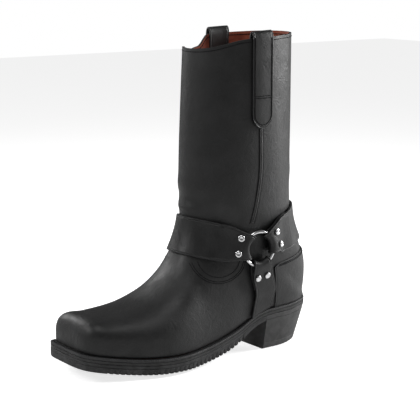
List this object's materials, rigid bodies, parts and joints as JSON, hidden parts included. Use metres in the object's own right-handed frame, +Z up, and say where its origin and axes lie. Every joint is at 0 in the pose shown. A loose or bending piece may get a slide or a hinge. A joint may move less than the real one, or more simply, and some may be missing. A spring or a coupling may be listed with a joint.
{
  "type": "harness boot",
  "caption": "Tall pull-on left boot with a square toe, welted lug sole, raked block heel and a harness of leather straps joined by a metal ring on each side.",
  "frame": {"origin": "on the floor, at the middle of the heel's underside", "axes": "+X towards the toe, +Y to the wearer's left (the outer side of this left boot), +Z up"},
  "size_m": [0.3184, 0.1229, 0.3721],
  "materials": {
    "upper_leather": "oiled, softly shining full-grain leather",
    "strap_leather": "oiled, softly shining strap leather with dark cut edges",
    "welt_leather": "dull black-dyed leather with a stitched, wheeled top",
    "midsole_leather": "dull black-dyed edge",
    "outsole_rubber": "matt moulded rubber",
    "heel_rubber": "matt rubber, a little greyer than the leather",
    "insole_leather": "matt reddish brown lining leather",
    "hardware": "polished nickel-plated metal"
  },
  "bodies": {
    "root": {"upper": "upper_leather", "counter": "upper_leather", "side_seam_outer": "upper_leather", "side_seam_inner": "upper_leather", "pull_strap_outer": "strap_leather", "pull_strap_inner": "strap_leather", "strap_instep": "strap_leather", "strap_heel": "strap_leather", "strap_drop_outer": "strap_leather", "strap_drop_inner": "strap_leather", "ring_outer": "hardware", "ring_inner": "hardware", "stud_instep_outer_1": "hardware", "stud_instep_outer_2": "hardware", "stud_heel_outer_1": "hardware", "stud_heel_outer_2": "hardware", "stud_drop_outer_1": "hardware", "stud_drop_outer_2": "hardware", "stud_instep_inner_1": "hardware", "stud_instep_inner_2": "hardware", "stud_heel_inner_1": "hardware", "stud_heel_inner_2": "hardware", "stud_drop_inner_1": "hardware", "stud_drop_inner_2": "hardware", "welt": "welt_leather", "midsole": "midsole_leather", "outsole": "outsole_rubber", "heel": "heel_rubber", "insole": "insole_leather"}
  },
  "joints": []
}
